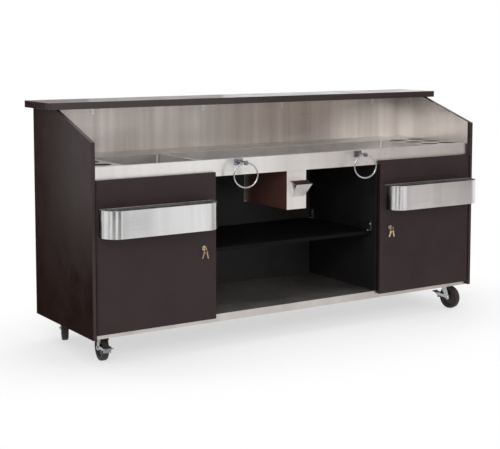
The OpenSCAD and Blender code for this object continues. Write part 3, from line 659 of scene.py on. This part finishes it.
boards = {
    "radius": 0.0012,
    "segments": 3,
    "laminate": {
        # painted shade: both end panels take the darker copy of the laminate
        "left_end_panel": "endLaminatePaintedShade",
        "right_end_panel": "endLaminatePaintedShade",
        "customer_panel": "doorLaminate",
        "left_door": "doorLaminate",
        "right_door": "doorLaminate",
        # painted light: the housing takes the lighter copy of the laminate
        "centre_housing": "housingLaminatePaintedLight",
        "bar_top": "topLaminate",
    },
    "black_board": {
        "inner_back_panel": "backBoard",
        "left_divider": "dividerBoard",
        "right_divider": "dividerBoard",
        "deck_board": "deckBoard",
        "bay_shelf": "shelfBoard",
    },
}
sheets = {
    "radius": 0.0006,
    "segments": 2,
    "steel": {
        "deck_skin": "deckSteel",
        "counter_top": "brushedSteel",
        "work_pan": "panSteel",
        "ice_bin_liner": "panSteel",
        "left_bottle_well": "panSteel",
        "right_bottle_well": "panSteel",
        "left_well_plate": "brushedSteel",
        "right_well_plate": "brushedSteel",
        # painted shade and painted reflection: the backsplash takes the darker, warmer steel
        "backsplash": "wallSteel",
        "side_liners": "brushedSteel",
        "housing_hanger": "brushedSteel",
        "catcher_plate": "plateSteel",
        "cap_catcher": "brushedSteel",
        "left_speed_rail": "railSteel",
        "right_speed_rail": "railSteel",
    },
}
for stock, slot in ((boards, "laminate"), (boards, "black_board"), (sheets, "steel")):
    for node, finish in stock[slot].items():
        dressNode(node, finish, stock["radius"], stock["segments"])


# The cap catcher's hollow gets painted shade: its back, its side walls and the slope that they
# meet take a dark brown finish in place of the steel
catcherSpec = {
    "inside": "catcherInside", "sheet": 0.0015,
    "backFacing": 0.9, "sideFacing": 0.7, "slopeFacing": 0.3,
}


def paintHollowShade(piece, spec):
    mesh = piece.data
    inside = len(mesh.materials)
    mesh.materials.append(finishes[spec["inside"]])
    low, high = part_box("cap_catcher")
    middle = (low + high) / 2
    for face in mesh.polygons:
        aim, spot = face.normal, face.center
        backWall = aim.y < -spec["backFacing"] and spot.y > high.y - 2 * spec["sheet"]
        sideWall = abs(aim.x) > spec["sideFacing"] and aim.x * (middle.x - spot.x) > 0
        slope = min(aim.y, aim.z) > spec["slopeFacing"]
        if backWall or sideWall or slope:
            face.material_index = inside


paintHollowShade(bpy.data.objects["capCatcher"], catcherSpec)
print("boards and sheets dressed")


# Fittings: finish, slot, edge radius and the steps round the edge
fittings = {
    # painted dark reflection: the ring mounts take the darkened chrome
    "ring_mounts": ("chromePaintedDarkReflection", "chrome", 0.0018, 3),
    "left_towel_ring": ("chrome", "chrome", 0.0002, 2),
    "right_towel_ring": ("chrome", "chrome", 0.0002, 2),
    "left_lock_barrel": ("chrome", "chrome", 0.0006, 3),
    "right_lock_barrel": ("chrome", "chrome", 0.0006, 3),
    "ice_bin_drain": ("chrome", "chrome", 0.0006, 2),
    "left_lock_plug": ("brass", "brass", 0.0003, 2),
    "right_lock_plug": ("brass", "brass", 0.0003, 2),
    "hinge_frame_leaves": ("bronze", "hinge", 0.0002, 2),
    "left_hinge_door_leaf": ("bronze", "hinge", 0.0002, 2),
    "right_hinge_door_leaf": ("bronze", "hinge", 0.0002, 2),
    "hinge_pins": ("bronze", "hinge", 0.0003, 2),
    "ice_bin_insulation": ("foam", "foam", 0.0020, 2),
    "shelf_brackets": ("zinc", "zinc", 0.0004, 2),
    "bar_top_brackets": ("zinc", "zinc", 0.0004, 2),
    "lock_strikes": ("zinc", "zinc", 0.0004, 2),
    "caster_plates": ("zinc", "zinc", 0.0006, 2),
    "left_brake_pedal": ("pedalZinc", "zinc", 0.0008, 2),
    "right_brake_pedal": ("pedalZinc", "zinc", 0.0008, 2),
}
for corner in corners:
    fittings[corner + "_fork"] = ("zinc", "zinc", 0.0008, 2)
    fittings[corner + "_axle"] = ("zinc", "zinc", 0.0005, 2)
for node, (finish, slot, radius, segments) in fittings.items():
    dressNode(node, finish, radius, segments)
print("fittings dressed")


# Shaping helpers for the pieces below
def addPart(total, part):
    draft = bpy.data.meshes.new("draft")
    part.to_mesh(draft)
    part.free()
    total.from_mesh(draft)
    bpy.data.meshes.remove(draft)


def spinRound(shape, steps):
    bmesh.ops.spin(
        shape, geom=shape.verts[:] + shape.edges[:], cent=origin, axis=alongY,
        angle=2 * math.pi, steps=steps, use_merge=True, use_duplicate=False,
    )
    bmesh.ops.remove_doubles(shape, verts=shape.verts, dist=dressing["weld"])
    bmesh.ops.recalc_face_normals(shape, faces=shape.faces)


def turnProfile(half, steps):
    # A closed ring from half a profile of (radius, offset), mirrored across the middle
    shape = bmesh.new()
    loop = [shape.verts.new((radius, offset, 0)) for radius, offset in half]
    loop += [shape.verts.new((radius, -offset, 0)) for radius, offset in reversed(half)]
    for first, second in zip(loop, loop[1:] + loop[:1]):
        shape.edges.new((first, second))
    spinRound(shape, steps)
    return shape


def thicken(shape, plate):
    bmesh.ops.recalc_face_normals(shape, faces=shape.faces)
    bmesh.ops.solidify(shape, geom=shape.faces[:], thickness=plate)
    bmesh.ops.recalc_face_normals(shape, faces=shape.faces)
    middle = sum(vert.co.z for vert in shape.verts) / len(shape.verts)
    bmesh.ops.translate(shape, verts=shape.verts, vec=(0, 0, -middle))


def standCone(segments, foot, head, height, lift=0):
    shape = bmesh.new()
    bmesh.ops.create_cone(
        shape, cap_ends=True, segments=segments, radius1=foot, radius2=head, depth=height
    )
    bmesh.ops.translate(shape, verts=shape.verts, vec=(0, 0, lift + height / 2))
    return shape


def seatPart(shape, place, towards):
    turn = Vector(alongZ).rotation_difference(Vector(towards)).to_matrix().to_4x4()
    bmesh.ops.transform(shape, matrix=Matrix.Translation(place) @ turn, verts=shape.verts)


# Spare keys: two cut keys with pierced bows, hung on a wire ring
keySpec = {
    "ring": 0.0085, "wire": 0.0008, "ringSteps": 48, "wireSides": 10,
    "bow": 0.0060, "hole": 0.0030, "holeDrop": 0.0040, "bowPlate": 0.0020, "bowSides": 32,
    "bladeWide": 0.0066, "bladeLong": 0.0270, "bladePlate": 0.0016, "tuck": 0.0020, "tip": 0.0030,
    "cuts": (0.0016, 0.0009, 0.0021, 0.0012), "cutPitch": 0.0040,
    "cutMouth": 0.0015, "cutFloor": 0.0005,
    "slack": 0.0010, "edge": 0.0002, "edgeSteps": 2,
    "hung": ((-55, 30, 22), (55, 34, -14)),  # degrees round the ring, turned and leaning
}
uprightKey = Matrix(((0, 0, 1, 0), (1, 0, 0, 0), (0, 1, 0, 0), (0, 0, 0, 1)))


def cutBow(spec):
    shape = bmesh.new()
    ring = {"cap_ends": False, "segments": spec["bowSides"]}
    rim = bmesh.ops.create_circle(shape, radius=spec["bow"], **ring)["verts"]
    bmesh.ops.translate(shape, verts=rim, vec=(0, spec["holeDrop"] - spec["bow"], 0))
    bmesh.ops.create_circle(shape, radius=spec["hole"], **ring)
    bmesh.ops.bridge_loops(shape, edges=shape.edges[:])
    thicken(shape, spec["bowPlate"])
    roundEdges(shape, spec["edge"], spec["edgeSteps"])
    return shape


def cutBlade(spec):
    half = spec["bladeWide"] / 2
    top = spec["holeDrop"] - 2 * spec["bow"] + spec["tuck"]
    end = top - spec["bladeLong"]
    shoulder = end + spec["tip"]
    outline = [(-half, top), (-half, shoulder), (0, end), (half, shoulder)]
    for step, depth in enumerate(spec["cuts"], 1):
        foot = shoulder + step * spec["cutPitch"]
        outline += [
            (half, foot - spec["cutMouth"]),
            (half - depth, foot - spec["cutFloor"]),
            (half - depth, foot + spec["cutFloor"]),
            (half, foot + spec["cutMouth"]),
        ]
    outline.append((half, top))
    shape = bmesh.new()
    shape.faces.new([shape.verts.new((across, along, 0)) for across, along in outline])
    thicken(shape, spec["bladePlate"])
    roundEdges(shape, spec["edge"], spec["edgeSteps"])
    return shape


def hangKeys(side, spec):
    pivot = Vector(joints[side + "_keys_swing"]["pos_m"])
    centre = pivot - Vector((0, 0, spec["ring"]))
    total = bmesh.new()
    wire = bmesh.ops.create_circle(
        total, cap_ends=False, segments=spec["wireSides"], radius=spec["wire"]
    )["verts"]
    bmesh.ops.translate(total, verts=wire, vec=(spec["ring"], 0, 0))
    spinRound(total, spec["ringSteps"])
    bmesh.ops.translate(total, verts=total.verts, vec=centre)
    drop = Vector((0, 0, spec["slack"]))
    for around, turned, lean in spec["hung"]:
        angle = math.radians(around)
        hole = centre + Vector((math.sin(angle), 0, -math.cos(angle))) * spec["ring"] - drop
        leaning = Matrix.Rotation(math.radians(lean), 4, "Y")
        stand = leaning @ Matrix.Rotation(math.radians(turned), 4, "Z")
        place = Matrix.Translation(hole) @ stand @ uprightKey
        for part in (cutBow(spec), cutBlade(spec)):
            bmesh.ops.transform(part, matrix=place, verts=part.verts)
            addPart(total, part)
    keepPiece(side + "Keys", total, "brass", side + "_key_ring", side + "_keys")


for side in sides:
    hangKeys(side, keySpec)
print("keys hung")


# Strainer in the mouth of the ice bin's drain: a pierced plate inside a turned rim
strainerSpec = {
    "radius": 0.0130, "rim": 0.0022, "rimShare": 0.6, "steps": 48,
    "plate": 0.0012, "sink": 0.0012, "meshes": 9, "bar": 0.0005,
}


def setStrainer(spec):
    reach = spec["radius"] - spec["rim"] / 2
    net = bmesh.new()
    bmesh.ops.create_grid(net, x_segments=spec["meshes"], y_segments=spec["meshes"], size=reach)
    outside = [
        face for face in net.faces if max(vert.co.length for vert in face.verts) > reach
    ]
    bmesh.ops.delete(net, geom=outside, context="FACES")
    holes = net.faces[:]
    bmesh.ops.inset_individual(net, faces=holes, thickness=spec["bar"])
    bmesh.ops.delete(net, geom=holes, context="FACES_ONLY")
    thicken(net, spec["plate"])
    half = spec["plate"] * spec["rimShare"]
    rim = [(spec["radius"] - spec["rim"], half), (spec["radius"], half)]
    whole = turnProfile(rim, spec["steps"])
    flat = Matrix.Rotation(math.pi / 2, 3, "X")
    bmesh.ops.rotate(whole, cent=origin, matrix=flat, verts=whole.verts)
    addPart(whole, net)
    low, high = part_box("ice_bin_drain")
    middle = (low + high) / 2
    place = (middle.x, middle.y, high.z - spec["sink"])
    bmesh.ops.translate(whole, verts=whole.verts, vec=place)
    keepPiece("drainStrainer", whole, "chrome", "cabinet")


setStrainer(strainerSpec)
print("strainer set")


# Wheels: a rubber tyre on a moulded core, both turned from half profiles of (radius, offset)
wheelSpec = {
    "steps": 72,
    "tyre": [
        (0.0495, 0.0143), (0.0535, 0.0158), (0.0575, 0.0160), (0.0605, 0.0149),
        (0.0624, 0.0123), (0.0633, 0.0085), (0.0635, 0.0040),
    ],
    "core": [
        (0.0042, 0.0186), (0.0068, 0.0186), (0.0074, 0.0178), (0.0112, 0.0178),
        (0.0120, 0.0186), (0.0150, 0.0184), (0.0166, 0.0168), (0.0178, 0.0085),
        (0.0198, 0.0068), (0.0405, 0.0068), (0.0425, 0.0085), (0.0436, 0.0128),
        (0.0452, 0.0142), (0.0497, 0.0142),
    ],
}


def wheelPlace(corner):
    joint = joints[corner + "_roll"]
    axle = Vector(joint["axis"]).normalized()
    turn = Vector(alongY).rotation_difference(axle).to_matrix().to_4x4()
    return Matrix.Translation(joint["pos_m"]) @ turn


def turnWheel(corner, spec):
    body = corner + "_wheel"
    place = wheelPlace(corner)
    tyre = turnProfile(spec["tyre"], spec["steps"])
    core = turnProfile(spec["core"], spec["steps"])
    for part in (tyre, core):
        bmesh.ops.transform(part, matrix=place, verts=part.verts)
    keepPiece(pieceName(corner) + "Tyre", tyre, "rubber", body, corner + "_wheel")
    keepPiece(pieceName(corner) + "WheelCore", core, "wheelCore", body)


for corner in corners:
    turnWheel(corner, wheelSpec)
print("wheels turned")


# Screws with a rounded head and a sunk socket
screwSpec = {
    "radius": 0.0042, "height": 0.0022, "sides": 16, "edge": 0.0009, "edgeSteps": 3,
    "socket": 0.0019, "sink": 0.0012,
}


def highestFace(shape):
    return max(shape.faces, key=lambda face: face.calc_center_median().z)


def makeScrew(spec):
    shape = standCone(spec["sides"], spec["radius"], spec["radius"], spec["height"])
    bmesh.ops.bevel(
        shape, geom=list(highestFace(shape).edges), offset=spec["edge"], offset_type="OFFSET",
        segments=spec["edgeSteps"], profile=0.5, affect="EDGES", material=-1,
    )
    cap = highestFace(shape)
    land = spec["radius"] - spec["edge"] - spec["socket"]
    bmesh.ops.inset_region(shape, faces=[cap], thickness=land)
    floor = bmesh.ops.extrude_discrete_faces(shape, faces=[cap])["faces"][0]
    bmesh.ops.translate(shape, verts=floor.verts, vec=(0, 0, -spec["sink"]))
    return shape


def screwSet(name, finish, body, places):
    total = bmesh.new()
    for place, towards in places:
        screw = makeScrew(screwSpec)
        seatPart(screw, place, towards)
        addPart(total, screw)
    keepPiece(name, total, finish, body)


def solidBoxes(node):
    # The lowest and highest corners of each separate solid in a node
    shape = weldedCopy(node)
    left = set(shape.verts)
    boxes = []
    while left:
        found = [left.pop()]
        for vert in found:
            for edge in vert.link_edges:
                other = edge.other_vert(vert)
                if other in left:
                    left.discard(other)
                    found.append(other)
        points = [vert.co.copy() for vert in found]
        boxes.append((Vector(map(min, *points)), Vector(map(max, *points))))
    shape.free()
    return boxes


bracketSpec = {"sheet": 0.002, "upright": 0.034, "reach": 0.017}


def bracketPlaces(node, level, spec):
    # One screw in each leg of every angle, on the side that the angle opens to
    places = []
    for low, high in solidBoxes(node):
        middle = (low + high) / 2
        wide = high - low
        across = 0 if wide.x > wide.y else 1
        out = -1 if middle[across] > 0 else 1
        wall = high[across] if out < 0 else low[across]
        heel = low.z if level > 0 else high.z
        stand, flat, facing = middle.copy(), middle.copy(), Vector()
        stand[across] = wall + out * spec["sheet"]
        stand.z = heel + level * spec["upright"]
        facing[across] = out
        flat[across] = wall + out * spec["reach"]
        flat.z = heel + level * spec["sheet"]
        places += [(stand, facing), (flat, (0, 0, level))]
    return places


for name, node, level in (
    ("shelfBracketScrews", "shelf_brackets", 1),
    ("topBracketScrews", "bar_top_brackets", -1),
):
    screwSet(name, "zinc", "cabinet", bracketPlaces(node, level, bracketSpec))


# Nuts, washers and stud ends under the corners of the caster plates
boltSpec = {
    "washer": 0.0092, "washerHeight": 0.0014, "washerSides": 24,
    "nut": 0.0075, "nutHeight": 0.0060, "nutSides": 6, "edge": 0.0007, "edgeSteps": 2,
    "stud": 0.0038, "studOut": 0.003, "studSides": 20, "taper": 0.8,
    "pitch": (0.074, 0.046), "plate": 0.003,
}


def makeNut(spec):
    washer, nut, stud = spec["washer"], spec["nut"], spec["stud"]
    seat = spec["washerHeight"]
    whole = standCone(spec["washerSides"], washer, washer, seat)
    hexagon = standCone(spec["nutSides"], nut, nut, spec["nutHeight"], seat)
    roundEdges(hexagon, spec["edge"], spec["edgeSteps"])
    addPart(whole, hexagon)
    crown = seat + spec["nutHeight"]
    taper = stud * spec["taper"]
    addPart(whole, standCone(spec["studSides"], stud, taper, spec["studOut"], crown))
    return whole


def nutSet(name, spec):
    total = bmesh.new()
    pitchX, pitchY = spec["pitch"]
    for low, high in solidBoxes("caster_plates"):
        middle = (low + high) / 2
        for x in (middle.x - pitchX / 2, middle.x + pitchX / 2):
            for y in (middle.y - pitchY / 2, middle.y + pitchY / 2):
                one = makeNut(spec)
                seatPart(one, (x, y, high.z - spec["plate"]), (0, 0, -1))
                addPart(total, one)
    keepPiece(name, total, "zinc", "cabinet")


nutSet("casterNuts", boltSpec)


# Screws through the back of each speed rail into its door
railSpec = {"share": (0.08, 0.36, 0.64, 0.92), "height": 0.55, "sheet": 0.0015}


def railPlaces(side, spec):
    low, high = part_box(side + "_speed_rail")
    wide = high - low
    y = high.y - spec["sheet"]
    z = low.z + spec["height"] * wide.z
    return [((low.x + share * wide.x, y, z), (0, -1, 0)) for share in spec["share"]]


for side in sides:
    places = railPlaces(side, railSpec)
    screwSet(side + "RailScrews", "chrome", side + "_door", places)
print("screws and nuts set")
